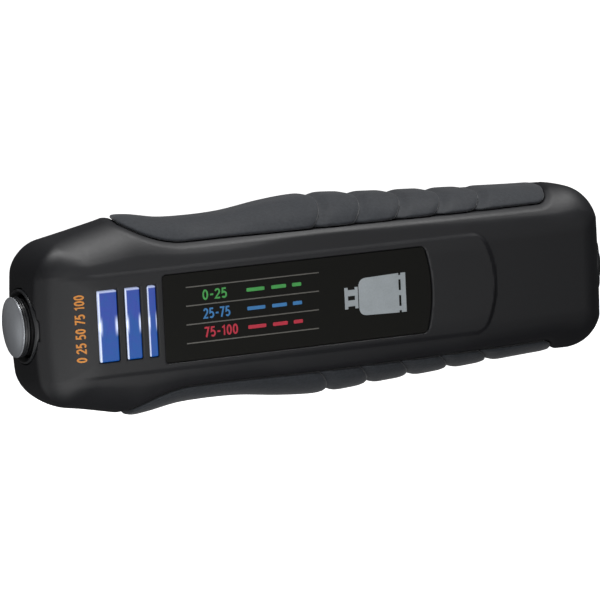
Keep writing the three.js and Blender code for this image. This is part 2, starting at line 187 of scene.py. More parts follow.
def cavity(x, y, z, base):
    """The hollow that holds the board, the cells and the sensor."""
    walls = np.maximum(np.abs(y) - body_half(x) + 4.6, base + WALL)
    ends = np.maximum(FRONT_X + 4 - x, x - TAIL_X + 4)
    return np.maximum.reduce([walls, ends, 3 - z, z - TOP_Z + 3])


def screw_posts(x, y):
    """Plan distance to the nearest screw's axis."""
    return np.minimum.reduce([np.hypot(x - middle_mm(n)[0], y - middle_mm(n)[1]) for n in SCREWS])


def front_shell(x, y, z):
    smooth = outer_body(x, y, z)
    base = smooth - band_lift(x, y)
    # chamfered edge along the grips, then the grips' own place cut away
    sides = np.maximum(grip_area(x, y, z), SPLIT_Z - z - 1) - GAP
    chamfer = base * 0.80 - sides * 0.60 + 0.52
    base = fillet_max(fillet_max(base, chamfer, 0.25), -sides, 0.15)
    base = np.minimum(base, smooth + GRIP_THICKNESS + 0.3)
    # recess for the panel, and a slot for each light window
    right = x - PANEL_HIGH[0] + PANEL_BOW * (y / PANEL_HIGH[1]) ** 2
    rim = fillet_max(np.abs(y) - PANEL_HIGH[1], right, PANEL_CORNER)
    rim = fillet_max(rim, PANEL_LOW[0] - x, PANEL_CORNER) - GAP / 2
    recess = np.maximum(rim, PANEL_LOW[2] - 0.2 - z)
    base = fillet_max(base, -recess, 0.3)
    for name in WINDOWS:
        low, high = box_mm(name)
        slot = block(x, y, z, low - (GAP, GAP, 2), high + (GAP, GAP, 2))
        base = fillet_max(base, -slot, 0.2)
    # hollow, with posts for the screws
    base = np.maximum(base, -cavity(x, y, z, smooth))
    post = screw_posts(x, y)
    base = np.minimum(base, np.maximum.reduce([post - 2.6, SPLIT_Z + 0.5 - z, smooth + 1]))
    base = np.maximum(base, -np.maximum(post - 1.4, z - 14))
    base = np.maximum(base, end_openings(x, y, z))
    return fillet_max(base, SPLIT_Z + GAP - z, 0.25)


def rear_shell(x, y, z):
    smooth = outer_body(x, y, z)
    # shallow recess for the blank rating plate
    plate = fillet_max(np.abs(x + 27) - 21, np.abs(y) - 10, 2.0)
    base = fillet_max(smooth, -np.maximum(plate, z - 0.5), 0.3)
    hollow = cavity(x, y, z, smooth)
    post = screw_posts(x, y)
    base = np.maximum(base, -np.maximum(hollow, -np.maximum(post - 3.6, z - 4.8)))
    base = fillet_max(base, -np.maximum(post - 2.8, z - 2.7), 0.25)
    base = np.maximum(base, 1.4 - post)
    door_x, door_half = (DOOR_LOW[0] + DOOR_HIGH[0]) / 2, (DOOR_HIGH[0] - DOOR_LOW[0]) / 2
    door = fillet_max(np.abs(x - door_x) - door_half - 0.25, np.abs(y) - DOOR_HIGH[1] - 0.25, 1.8)
    base = fillet_max(base, -np.maximum(door, z - 6), 0.3)
    base = np.maximum(base, end_openings(x, y, z))
    return fillet_max(base, z - SPLIT_Z + GAP, 0.25)


GROOVE_PITCH = 10.35
GROOVE_COUNT = 5
FIRST_GROOVE_X = 2.6


def grip(x, y, z):
    """Both rubber grips: pads in overlapping lobes, each ending in a rounded step."""
    half = body_half(x)
    smooth = body(x, y, z, half)
    area = grip_area(x, y, z)
    # 0 at the seam and 1 at the side
    across = np.clip((np.abs(y) - seam_half(x)) / np.maximum(half - seam_half(x), 1), 0, 1)
    place = x + 4.4 * (1 - across) ** 1.5 - FIRST_GROOVE_X
    index = np.clip(np.round(place / GROOVE_PITCH), 0, GROOVE_COUNT - 1)
    away = place - index * GROOVE_PITCH
    rise = np.exp(-(np.maximum(away, 0) / 1.75) ** 2)
    fall = np.exp(-(np.minimum(away, 0) / 0.42) ** 2)
    droop = 0.38 * np.exp(-(np.minimum(away, 0) / 1.5) ** 2) * (away < 0)
    depth = np.where(away > 0, rise, 0.62 * fall + droop)
    crown = 0.28 * ramp(-area, 0, 3)
    base = smooth + depth - crown + 0.05
    base = fillet_max(base, area + GAP, 0.9)
    base = np.maximum(base, -(smooth + GRIP_THICKNESS))
    return fillet_max(base, SPLIT_Z + GAP - z, 0.8)


def battery_door(x, y, z):
    """Battery door with a ribbed thumb dish."""
    middle = (DOOR_LOW + DOOR_HIGH) / 2
    size = (DOOR_HIGH - DOOR_LOW) / 2
    plan = fillet_max(np.abs(x - middle[0]) - size[0], np.abs(y) - size[1], 1.6)
    base = fillet_max(plan, np.abs(z - middle[2]) - size[2], 0.4)
    thumb_x = DOOR_LOW[0] + 9
    dish = np.hypot(x - thumb_x, y / 1.35) - 5.2
    ribs = 0.30 * (0.5 + 0.5 * np.cos((x - thumb_x) * 2 * math.pi / 1.8))
    floor = DOOR_LOW[2] + 0.75 - ribs
    return fillet_max(base, -np.maximum(dish, z - floor), 0.25)


def screw(x, y, z):
    """Pan-head screw with a cross recess, head down, on the Z axis."""
    low, high = box_mm(SCREWS[0])
    radius = (high[1] - low[1]) / 2
    around = np.hypot(x, y)
    head = fillet_max(around - radius, np.abs(z - low[2] - 0.7) - 0.7, 0.45)
    shank = fillet_max(around - 1.1 - 0.10 * np.cos(z * 2 * math.pi / 0.9), z - high[2], 0.3)
    base = np.minimum(head, np.maximum(shank, low[2] + 1 - z))
    arm, reach = 0.38, 1.5
    across = np.maximum(np.abs(x) - arm, np.abs(y) - reach)
    arms = np.minimum(across, np.maximum(np.abs(y) - arm, np.abs(x) - reach))
    return fillet_max(base, -np.maximum(arms, z - low[2] - 0.85), 0.08)


# ---------- implicit shape to mesh ----------
def surface_net(shape, low, high, step):
    """Vertices and quads on the zero surface of a shape, found on a regular grid."""
    low = np.array(low, float)
    counts = np.ceil((np.array(high, float) - low) / step).astype(int) + 1
    axes = [low[i] + step * np.arange(counts[i]) for i in range(3)]
    value = shape(*np.meshgrid(*axes, indexing="ij"))
    inside = value < 0
    cell_shape = counts - 1
    total = np.zeros((int(np.prod(cell_shape)), 3))
    hits = np.zeros(int(np.prod(cell_shape)))
    faces = []
    for axis in range(3):
        first = [slice(None)] * 3
        second = [slice(None)] * 3
        first[axis], second[axis] = slice(0, -1), slice(1, None)
        first, second = tuple(first), tuple(second)
        crossing = np.argwhere(inside[first] != inside[second])
        if not len(crossing):
            continue
        near = value[first][tuple(crossing.T)]
        far = value[second][tuple(crossing.T)]
        point = crossing.astype(float)
        point[:, axis] += near / (near - far)
        a, b = [other for other in range(3) if other != axis]
        corners = []
        for da, db in ((0, 0), (1, 0), (1, 1), (0, 1)):
            cell = crossing.copy()
            cell[:, a] -= da
            cell[:, b] -= db
            corners.append(np.ravel_multi_index(tuple(cell.T), tuple(cell_shape)))
        for index in corners:
            for k in range(3):
                total[:, k] += np.bincount(index, point[:, k], minlength=len(total))
            hits += np.bincount(index, minlength=len(total))
        quad = np.stack(corners, 1)
        flip = (near >= 0) if axis != 1 else (near < 0)
        quad[flip] = quad[flip][:, ::-1]
        faces.append(quad)
    used = np.flatnonzero(hits)
    number = np.full(len(hits), -1)
    number[used] = np.arange(len(used))
    vertices = low + step * total[used] / hits[used][:, None]
    return vertices, number[np.concatenate(faces)]


def gradient(shape, vertices):
    tiny = 0.01
    slope = np.empty_like(vertices)
    for k in range(3):
        shift = np.zeros(3)
        shift[k] = tiny
        slope[:, k] = (shape(*(vertices + shift).T) - shape(*(vertices - shift).T)) / (2 * tiny)
    return slope


def settle(shape, vertices, rounds=4, reach=0.3):
    """Moves vertices onto the zero surface along its gradient."""
    for _ in range(rounds):
        value = shape(*vertices.T)
        slope = gradient(shape, vertices)
        size = np.maximum((slope ** 2).sum(1), 0.05)
        move = -(value / size)[:, None] * slope
        length = np.maximum(np.linalg.norm(move, axis=1), 1e-9)
        vertices = vertices + move * np.minimum(1, reach / length)[:, None]
    return vertices


# ---------- materials ----------
def add_node(tree, kind, inputs=(), **settings):
    made = tree.nodes.new(kind)
    for key, value in settings.items():
        setattr(made, key, value)
    for key, value in dict(inputs).items():
        if isinstance(value, bpy.types.NodeSocket):
            tree.links.new(value, made.inputs[key])
        else:
            made.inputs[key].default_value = value
    return made


def start_material(name, **constants):
    made = bpy.data.materials.new(name)
    made.use_nodes = True
    tree = made.node_tree
    shader = tree.nodes["Principled BSDF"]
    for key, value in constants.items():
        shader.inputs[key.replace("_", " ")].default_value = value
    place = add_node(tree, "ShaderNodeTexCoord").outputs["Object"]
    return made, tree, shader, place


def noise(tree, place, scale, detail=3.0, distortion=0.0):
    inputs = {"Vector": place, "Scale": scale, "Detail": detail, "Distortion": distortion}
    return add_node(tree, "ShaderNodeTexNoise", inputs).outputs["Fac"]


def spread(tree, value, low, high, start=0.3, end=0.7, kind="LINEAR"):
    inputs = {"Value": value, "From Min": start, "From Max": end, "To Min": low, "To Max": high}
    return add_node(tree, "ShaderNodeMapRange", inputs, interpolation_type=kind).outputs["Result"]


def mixed(tree, factor, first, second):
    node = add_node(tree, "ShaderNodeMix", data_type="RGBA")
    for socket, value in zip((node.inputs[0], node.inputs[6], node.inputs[7]), (factor, first, second)):
        if isinstance(value, bpy.types.NodeSocket):
            tree.links.new(value, socket)
        elif socket.type == "RGBA":
            socket.default_value = (*value, 1)
        else:
            socket.default_value = value
    return node.outputs[2]


def sums(tree, how, first, second):
    return add_node(tree, "ShaderNodeMath", {0: first, 1: second}, operation=how).outputs[0]


def moulded(name, colour, shade, rough, grain=900, bump=0.02, cloud=55, **constants):
    """Moulded or machined surface: soft colour clouds, uneven gloss and a fine grain."""
    made, tree, shader, place = start_material(name, **constants)
    clouds = noise(tree, place, cloud, 4)
    fine = noise(tree, place, grain, 2)
    tone = sums(tree, "ADD", sums(tree, "MULTIPLY", clouds, 0.6), sums(tree, "MULTIPLY", fine, 0.4))
    tree.links.new(mixed(tree, spread(tree, tone, 0, 1), shade, colour), shader.inputs["Base Color"])
    tree.links.new(spread(tree, tone, rough[0], rough[1]), shader.inputs["Roughness"])
    relief = add_node(tree, "ShaderNodeBump", {"Height": fine, "Distance": bump * MM, "Strength": 0.6})
    tree.links.new(relief.outputs[0], shader.inputs["Normal"])
    return made


def brushed(name, colour, shade, rough, stretch):
    """Metal with marks drawn out along one axis."""
    made, tree, shader, place = start_material(name, Metallic=1.0)
    drawn = add_node(tree, "ShaderNodeMapping", {"Vector": place, "Scale": stretch}).outputs[0]
    marks = noise(tree, drawn, 700, 3)
    clouds = noise(tree, place, 120, 3)
    tone = sums(tree, "MULTIPLY", sums(tree, "ADD", marks, clouds), 0.5)
    tree.links.new(mixed(tree, spread(tree, tone, 0, 1), shade, colour), shader.inputs["Base Color"])
    tree.links.new(spread(tree, marks, rough[0], rough[1]), shader.inputs["Roughness"])
    relief = add_node(tree, "ShaderNodeBump", {"Height": marks, "Distance": 0.01 * MM, "Strength": 0.5})
    tree.links.new(relief.outputs[0], shader.inputs["Normal"])
    return made


def rubber(name):
    """Soft grip rubber with a fine spark-eroded grain."""
    made, tree, shader, place = start_material(name, Specular_IOR_Level=0.35, Sheen_Weight=0.30)
    shader.inputs["Sheen Roughness"].default_value = 0.4
    clouds = noise(tree, place, 70, 4)
    speck = noise(tree, place, 1500, 2)
    fine = noise(tree, place, 3600, 2)
    tone = sums(tree, "ADD", sums(tree, "MULTIPLY", clouds, 0.35), sums(tree, "MULTIPLY", speck, 0.65))
    grey = mixed(tree, spread(tree, tone, 0, 1), (0.017, 0.0195, 0.024), (0.032, 0.036, 0.043))
    tree.links.new(grey, shader.inputs["Base Color"])
    tree.links.new(spread(tree, clouds, 0.62, 0.78), shader.inputs["Roughness"])
    height = sums(tree, "ADD", speck, fine)
    relief = add_node(tree, "ShaderNodeBump", {"Height": height, "Distance": 0.05 * MM, "Strength": 0.7})
    tree.links.new(relief.outputs[0], shader.inputs["Normal"])
    return made


def light_window(name):
    """Tinted light guide: cloudy blue, with painted highlights along its left and top edges.

    A painted glint sits in the middle of the left edge and of the right one; all of it is given off as a
    painted glow.
    """
    made, tree, shader, place = start_material(
        name, Roughness=0.12, Coat_Weight=0.25, Emission_Strength=1.0,
    )
    spot = add_node(tree, "ShaderNodeTexCoord").outputs["Generated"]
    axes = add_node(tree, "ShaderNodeSeparateXYZ", {0: spot})
    along, up = axes.outputs[0], axes.outputs[1]
    clouds = noise(tree, place, 210, 3, 1.5)
    bands = sums(tree, "ADD", clouds, sums(tree, "MULTIPLY", up, 0.5))
    tint = mixed(tree, spread(tree, bands, 0, 1, 0.55, 0.95), (0.004, 0.052, 0.230), (0.014, 0.040, 0.240))
    # painted glints: pale spots half way up, near the left and the right end
    rest = sums(tree, "ABSOLUTE", sums(tree, "SUBTRACT", up, 0.5), 0.0)
    mid = spread(tree, rest, 1, 0, 0.02, 0.17, "SMOOTHSTEP")
    left = spread(tree, along, 1, 0, 0.02, 0.24, "SMOOTHSTEP")
    right = spread(tree, along, 0, 0.8, 0.80, 0.97, "SMOOTHSTEP")
    # painted highlights: pale rims along the left and the top edge
    painted_rim_left = spread(tree, along, 0.75, 0, 0.03, 0.12, "SMOOTHSTEP")
    painted_rim_top = spread(tree, up, 0, 0.5, 0.965, 0.99, "SMOOTHSTEP")
    # painted highlights and glints together, mixed into the pane's colour
    glow = sums(tree, "MAXIMUM", sums(tree, "MULTIPLY", sums(tree, "ADD", left, right), mid), painted_rim_left)
    glow = sums(tree, "MAXIMUM", glow, painted_rim_top)
    colour = mixed(tree, glow, tint, (0.72, 0.80, 1.0))
    tree.links.new(colour, shader.inputs["Base Color"])
    # painted glow: the pane gives off its own colour, painted highlights and glints included
    tree.links.new(mixed(tree, 0.8, (0, 0, 0), colour), shader.inputs["Emission Color"])
    relief = add_node(tree, "ShaderNodeBump", {"Height": clouds, "Distance": 0.1 * MM, "Strength": 0.3})
    tree.links.new(relief.outputs[0], shader.inputs["Normal"])
    return made


def printed(name, colour):
    """Screen-printed ink, slightly uneven."""
    dark = tuple(0.8 * part for part in colour)
    return moulded(name, colour, dark, (0.35, 0.5), grain=2500, bump=0.01, cloud=300)


def circuit(name):
    """Green solder resist, with thin lines in a brick pattern standing in for the tracks."""
    made, tree, shader, place = start_material(name, Coat_Weight=0.2)
    cells = add_node(tree, "ShaderNodeTexBrick", {"Vector": place, "Scale": 160.0, "Mortar Size": 0.012})
    tracks = cells.outputs["Fac"]
    speck = noise(tree, place, 900, 2)
    green = mixed(tree, spread(tree, speck, 0, 1), (0.010, 0.085, 0.030), (0.016, 0.120, 0.045))
    tree.links.new(mixed(tree, tracks, green, (0.05, 0.25, 0.09)), shader.inputs["Base Color"])
    tree.links.new(spread(tree, speck, 0.3, 0.5), shader.inputs["Roughness"])
    relief = add_node(tree, "ShaderNodeBump", {"Height": tracks, "Distance": 0.05 * MM})
    tree.links.new(relief.outputs[0], shader.inputs["Normal"])
    return made


def cell_label(name, nub_side):
    """Battery: wrapped label in two colours, bare metal at both ends. The nub side is -1 or 1 along X."""
    made, tree, shader, place = start_material(name)
    spot = add_node(tree, "ShaderNodeTexCoord").outputs["Generated"]
    along = add_node(tree, "ShaderNodeSeparateXYZ", {0: spot}).outputs[0]
    if nub_side < 0:
        along = sums(tree, "SUBTRACT", 1.0, along)
    speck = noise(tree, place, 700, 3)
    dark = mixed(tree, spread(tree, speck, 0, 1), (0.016, 0.018, 0.022), (0.026, 0.029, 0.034))
    copper = mixed(tree, spread(tree, speck, 0, 1), (0.42, 0.20, 0.07), (0.55, 0.28, 0.11))
    metal = mixed(tree, spread(tree, speck, 0, 1), (0.50, 0.50, 0.49), (0.66, 0.66, 0.65))
    label = mixed(tree, spread(tree, along, 0, 1, 0.69, 0.695), dark, copper)
    low_end = spread(tree, along, 1, 0, 0.012, 0.016)
    high_end = spread(tree, along, 0, 1, 0.962, 0.966)
    bare = sums(tree, "MAXIMUM", low_end, high_end)
    tree.links.new(mixed(tree, bare, label, metal), shader.inputs["Base Color"])
    tree.links.new(bare, shader.inputs["Metallic"])
    tree.links.new(spread(tree, speck, 0.22, 0.36), shader.inputs["Roughness"])
    return made


SHELL = moulded("shell_plastic", (0.0090, 0.0094, 0.0116), (0.0074, 0.0077, 0.0096), (0.46, 0.56),
                1400, 0.025, Specular_IOR_Level=0.50)
GRIP = rubber("grip_rubber")
PANEL = moulded("panel_gloss", (0.0100, 0.0100, 0.0085), (0.0088, 0.0088, 0.0076), (0.28, 0.36),
                600, 0.004, Specular_IOR_Level=0.10)
PAD = moulded("pad_silver", (0.46, 0.48, 0.51), (0.38, 0.40, 0.43), (0.30, 0.42), 2600, 0.012, Metallic=0.35)
COLLAR = moulded("collar_plastic", (0.030, 0.031, 0.034), (0.022, 0.023, 0.025), (0.25, 0.38), 1600, 0.015)
BUTTON = moulded("button_rubber", (0.012, 0.012, 0.013), (0.008, 0.008, 0.009), (0.45, 0.6), 1800, 0.03)
SEAL = moulded("seal_rubber", (0.010, 0.010, 0.011), (0.006, 0.006, 0.007), (0.6, 0.75), 2000, 0.03)
WHITE = moulded("white_plastic", (0.70, 0.70, 0.67), (0.60, 0.60, 0.57), (0.4, 0.55), 1200, 0.02)
DARK = moulded("dark_plastic", (0.020, 0.020, 0.022), (0.013, 0.013, 0.014), (0.4, 0.55), 1200, 0.02)
LEAD_RED = moulded("lead_red", (0.42, 0.02, 0.02), (0.33, 0.015, 0.015), (0.4, 0.5), 2500, 0.01)
LEAD_BLACK = moulded("lead_black", (0.016, 0.016, 0.017), (0.010, 0.010, 0.011), (0.4, 0.5), 2500, 0.01)
LABEL = moulded("plate_silver", (0.34, 0.345, 0.35), (0.29, 0.295, 0.30), (0.35, 0.5), 1500, 0.01,
                Metallic=0.4)
STEEL = brushed("steel", (0.62, 0.62, 0.61), (0.46, 0.46, 0.46), (0.22, 0.38), (1, 1, 0.15))
BRASS = brushed("brass", (0.74, 0.53, 0.22), (0.58, 0.39, 0.14), (0.25, 0.4), (1, 0.2, 1))
WINDOW = light_window("window_tint")
BOARD = circuit("board_green")
GREEN = printed("ink_green", (0.075, 0.480, 0.100))
BLUE = printed("ink_blue", (0.050, 0.260, 0.620))
RED = printed("ink_red", (0.680, 0.026, 0.062))
ORANGE = printed("ink_orange", (0.900, 0.330, 0.035))
GREY = printed("ink_grey", (0.480, 0.530, 0.560))
RULE = printed("ink_rule", (0.150, 0.145, 0.130))


# ---------- mesh pieces ----------
def mesh_object(name, vertices, faces, normals=None):
    mesh = bpy.data.meshes.new(name)
    mesh.vertices.add(len(vertices))
    mesh.vertices.foreach_set("co", (np.asarray(vertices, float) * MM).ravel())
    sizes = np.array([len(face) for face in faces], dtype=np.int32)
    mesh.loops.add(int(sizes.sum()))
    mesh.loops.foreach_set("vertex_index", np.concatenate([np.asarray(f) for f in faces]).astype(np.int32))
    mesh.polygons.add(len(faces))
    mesh.polygons.foreach_set("loop_start", np.concatenate([[0], np.cumsum(sizes)[:-1]]).astype(np.int32))
    mesh.update(calc_edges=True)
    mesh.validate()
    mesh.shade_smooth()
    if normals is None:
        mesh.set_sharp_from_angle(angle=SHARP_ANGLE)
    else:
        mesh.normals_split_custom_set_from_vertices(normals)
    obj = bpy.data.objects.new(name, mesh)
    bpy.context.collection.objects.link(obj)
    return obj


def finish_piece(obj, material, body_name, replaces=()):
    obj.data.materials.append(material)
    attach(obj, body_name)
    if replaces:
        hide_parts(*replaces)


def implicit_object(name, shape, low, high, step):
    vertices, faces = surface_net(shape, low, high, step)
    vertices = settle(shape, vertices)
    slope = gradient(shape, vertices)
    normals = slope / np.maximum(np.linalg.norm(slope, axis=1), 1e-9)[:, None]
    return mesh_object(name, vertices, faces, normals)


def rounded(points, radius, steps=5, closed=True):
    """An outline with its corners rounded."""
    points = [Vector(p) for p in points]
    out = []
    for i, here in enumerate(points):
        if not closed and i in (0, len(points) - 1):
            out.append(here)
            continue
        back = points[i - 1] - here
        on = points[(i + 1) % len(points)] - here
        reach = min(radius / math.tan(back.angle(on) / 2), 0.48 * back.length, 0.48 * on.length)
        start = here + back.normalized() * reach
        end = here + on.normalized() * reach
        for k in range(steps + 1):
            t = k / steps
            out.append(start * (1 - t) ** 2 + here * 2 * t * (1 - t) + end * t * t)
    return out


def inset(outline, distance):
    """A closed outline moved inwards, for one that runs anticlockwise."""
    points = np.array([tuple(p)[:2] for p in outline])
    back = points - np.roll(points, 1, axis=0)
    on = np.roll(points, -1, axis=0) - points
    sideways = []
    for edge in (back, on):
        edge = edge / np.maximum(np.linalg.norm(edge, axis=1), 1e-9)[:, None]
        sideways.append(np.stack([-edge[:, 1], edge[:, 0]], 1))
    normal = sideways[0] + sideways[1]
    size = np.maximum((normal ** 2).sum(1) / 2, 0.5)
    return points + distance * normal / size[:, None]


def plate_mesh(outline, z0, z1, bevel):
    """Vertices and faces of a flat plate with a rounded upper edge."""
    levels = [(0, z0)]
    steps = 3
    for k in range(steps + 1):
        angle = math.pi / 2 * k / steps
        levels.append((bevel * (1 - math.cos(angle)), z1 - bevel + bevel * math.sin(angle)))
    levels.append((bevel + 0.08, z1))
    count = len(outline)
    vertices = []
    for distance, z in levels:
        vertices += [(px, py, z) for px, py in inset(outline, distance)]
    faces = [list(range(count))[::-1]]
    for level in range(len(levels) - 1):
        for i in range(count):
            j = (i + 1) % count
            a, b = level * count + i, level * count + j
            faces.append([a, b, b + count, a + count])
    faces.append([(len(levels) - 1) * count + i for i in range(count)])
    return vertices, faces


def joined(parts):
    """Several (vertices, faces) lists as one."""
    vertices, faces = [], []
    for more_vertices, more_faces in parts:
        start = len(vertices)
        vertices += list(more_vertices)
        faces += [[start + i for i in face] for face in more_faces]
    return vertices, faces


def oblong(x0, x1, y0, y1, radius=0.0, steps=4):
    corners = [(x0, y0), (x1, y0), (x1, y1), (x0, y1)]
    return rounded(corners, radius, steps) if radius else [Vector(c) for c in corners]


def ribbon_mesh(points, width, z0, z1, closed=False):
    """Vertices and faces of a flat stroke along a line of points."""
    line = np.array([tuple(p)[:2] for p in points], float)
    count = len(line)
    if closed:
        back, on = line - np.roll(line, 1, axis=0), np.roll(line, -1, axis=0) - line
    else:
        steps = np.diff(line, axis=0)
        back, on = np.vstack([steps[:1], steps]), np.vstack([steps, steps[-1:]])
    sideways = []
    for edge in (back, on):
        edge = edge / np.linalg.norm(edge, axis=1)[:, None]
        sideways.append(np.stack([-edge[:, 1], edge[:, 0]], 1))
    normal = sideways[0] + sideways[1]
    normal = normal / np.maximum((normal ** 2).sum(1) / 2, 0.5)[:, None]
    left, right = line + normal * width / 2, line - normal * width / 2
    vertices = []
    for side, z in ((left, z1), (right, z1), (right, z0), (left, z0)):
        vertices += [(px, py, z) for px, py in side]
    faces = []
    for i in range(count if closed else count - 1):
        j = (i + 1) % count
        for k in range(4):
            a, b = k * count, ((k + 1) % 4) * count
            faces.append([a + i, b + i, b + j, a + j])
    if not closed:
        faces.append([0, 3 * count, 2 * count, count])
        last = count - 1
        faces.append([last, count + last, 2 * count + last, 3 * count + last])
    return vertices, faces


def turned_mesh(profile, z, sides=96, follow=None):
    """Solid of revolution about an axis along X. A profile point is (x, radius) or
    (x, radius, share), where share says how far the point follows the surface x = follow(y, z)."""
    vertices, rings, faces = [], [], []
    for point in profile:
        x, radius = point[0], point[1]
        share = point[2] if len(point) > 2 else 0
        if radius < 1e-6:
            rings.append([len(vertices)])
            vertices.append((x, 0, z))
            continue
        angles = 2 * math.pi * np.arange(sides) / sides
        ys, zs = radius * np.cos(angles), z + radius * np.sin(angles)
        xs = np.full(sides, float(x)) + (share * follow(ys, zs) if follow else 0)
        rings.append(list(range(len(vertices), len(vertices) + sides)))
        vertices += list(zip(xs, ys, zs))
    pairs = list(zip(rings, rings[1:]))
    if len(rings[0]) > 1:
        pairs.append((rings[-1], rings[0]))
    for a, b in pairs:
        for i in range(sides):
            j = (i + 1) % sides
            if len(a) == 1:
                faces.append([a[0], b[j], b[i]])
            elif len(b) == 1:
                faces.append([a[i], a[j], b[0]])
            else:
                faces.append([a[i], a[j], b[j], b[i]])
    return vertices, faces


def surface_x(y, z, start, direction):
    """Where a line along X from start first meets the body."""
    x = np.full(np.shape(y), float(start))
    for _ in range(40):
        x = x + direction * outer_body(x, y, z)
    return x


def build_housing():
    step = 0.48
    fine = 0.3
    margin = 1.5
    half = SHOULDER_HALF + margin
    bottom, split_low, split_high, top = -margin, SPLIT_Z - margin, SPLIT_Z + margin, TOP_Z + margin
    start, end = FRONT_X - margin, TAIL_X + margin
    front = implicit_object("shell_front", front_shell, (start, -half, split_low), (end, half, top), step)
    finish_piece(front, SHELL, "root", ["front_shell"])
    rear = implicit_object("shell_rear", rear_shell, (start, -half, bottom), (end, half, split_high), step)
    finish_piece(rear, SHELL, "root", ["rear_shell"])
    start, end = FRONT_X + 13, GRIP_END_X + 7
    inner, outer = 12, half + 1
    for name, low_y, high_y in (("grip_left", inner, outer), ("grip_right", -outer, -inner)):
        skin = implicit_object(name + "_skin", grip, (start, low_y, split_low), (end, high_y, top), fine)
        finish_piece(skin, GRIP, "root", [name])
    door = implicit_object("door_cover", battery_door, DOOR_LOW - margin, DOOR_HIGH + margin, fine)
    finish_piece(door, SHELL, "door", ["battery_door"])


def build_screws():
    low, high = box_mm(SCREWS[0])
    step = 0.14
    vertices, faces = surface_net(screw, (-3, -3, low[2] - 0.5), (3, 3, high[2] + 0.5), step)
    vertices = settle(screw, vertices, reach=0.1)
    for name in SCREWS:
        x, y, _ = middle_mm(name)
        obj = mesh_object(name + "_head", vertices + (x, y, 0), faces)
        finish_piece(obj, STEEL, "root", [name])


def nose_relief(y, z):
    """How far the nose's surface lies behind its foremost X."""
    return surface_x(y, z, FRONT_X - 3, 1) - FRONT_X


def tail_relief(y, z):
    """The same at the tail, where it is zero or negative."""
    return surface_x(y, z, TAIL_X + 3, -1) - TAIL_X


def build_sensor():
    low, high = box_mm("sensor_pad")
    radius = (high[1] - low[1]) / 2
    rim, back = PAD_RIM_X, high[0]
    # light face, and behind it the dark side with its rings
    face_back = rim + 0.18
    shares = np.linspace(0, 1, 15)[1:-1]
    dome = [(rim - PAD_DOME * (1 - share * share), radius * share) for share in shares]
    edge = [(rim - 0.10, radius - 0.03), (rim + 0.02, radius), (rim + 0.16, radius)]
    edge.append((face_back, radius - 0.4))
    edge = [tuple(p) for p in rounded(edge, 0.06, 3, closed=False)]
    profile = [(low[0], 0)] + dome + edge + [(face_back, 0)]
    pad = mesh_object("sensor_pad_face", *turned_mesh(profile, SENSOR_Z))
    finish_piece(pad, PAD, "sensor", ["sensor_pad"])
    side = [
        (face_back, radius - 0.35), (rim + 0.42, radius - 0.35), (rim + 0.46, radius - 0.04),
        (rim + 0.82, radius - 0.02), (rim + 0.86, radius - 0.30), (rim + 1.02, radius - 0.30),
        (rim + 1.06, radius), (rim + 1.36, radius), (rim + 1.40, radius - 0.3), (back, radius - 0.35),
    ]
    side = [tuple(p) for p in rounded(side, 0.06, 3, closed=False)]
    profile = [(face_back, 0)] + side + [(back, 0)]
    rings = mesh_object("sensor_pad_side", *turned_mesh(profile, SENSOR_Z))
    finish_piece(rings, COLLAR, "sensor", ["sensor_pad"])

    back = box_mm("sensor_collar")[1][0]
    ring = [
        (FRONT_X + 0.9, 8.55, 1), (FRONT_X - 0.05, 8.55, 1), (FRONT_X - 0.34, 8.36, 1),
        (FRONT_X - 0.36, 8.12, 1), (FRONT_X - 0.05, 7.92, 0.95), (FRONT_X + 0.75, 7.5, 0.4),
        (FRONT_X + 1.1, 7.32, 0), (back, 7.3, 0), (back, 8.2, 0), (FRONT_X + 1.6, 8.2, 0),
    ]
    ring = [tuple(p) for p in rounded(ring, 0.16, 4)]
    collar = mesh_object("sensor_collar_ring", *turned_mesh(ring[::-1], SENSOR_Z, follow=nose_relief))
    finish_piece(collar, COLLAR, "root", ["sensor_collar"])


def build_button():
    low, high = box_mm("power_button")
    radius = (high[1] - low[1]) / 2
    tip, rim, back = high[0], BUTTON_RIM_X, BUTTON_BACK_X
    profile = [
        (tip - 0.25, 0), (tip - 0.25, 3.2), (tip - 0.02, 3.7), (tip - 0.02, 4.6),
        (rim + 0.35, radius - 0.5), (rim - 0.1, radius), (back, radius), (back, 2.0),
        (low[0], 2.0), (low[0], 0),
    ]
    profile = [tuple(p) for p in rounded(profile, 0.35, 4, closed=False)]
    button = mesh_object("tail_button_cap", *turned_mesh(profile[::-1], BUTTON_Z))
    finish_piece(button, BUTTON, "tail_button", ["power_button"])

    inner_x = box_mm("button_bezel")[0][0]
    ring = [
        (TAIL_X - 1.2, 8.2, 1), (TAIL_X + 0.1, 8.2, 1), (TAIL_X + 0.35, 7.95, 1), (TAIL_X + 0.3, 7.6, 1),
        (TAIL_X - 0.6, 6.95, 0), (inner_x, 6.9, 0), (inner_x, 8.1, 0),
    ]
    ring = [tuple(p) for p in rounded(ring, 0.15, 4)]
    bezel = mesh_object("tail_button_ring", *turned_mesh(ring, BUTTON_Z, follow=tail_relief))
    finish_piece(bezel, COLLAR, "root", ["button_bezel"])


# ---------- printing on the panel and the shell ----------
def arc(cx, cy, rx, ry, start, end, steps=10):
    angles = np.radians(np.linspace(start, end, steps + 1))
    return [(cx + rx * math.cos(a), cy + ry * math.sin(a)) for a in angles]


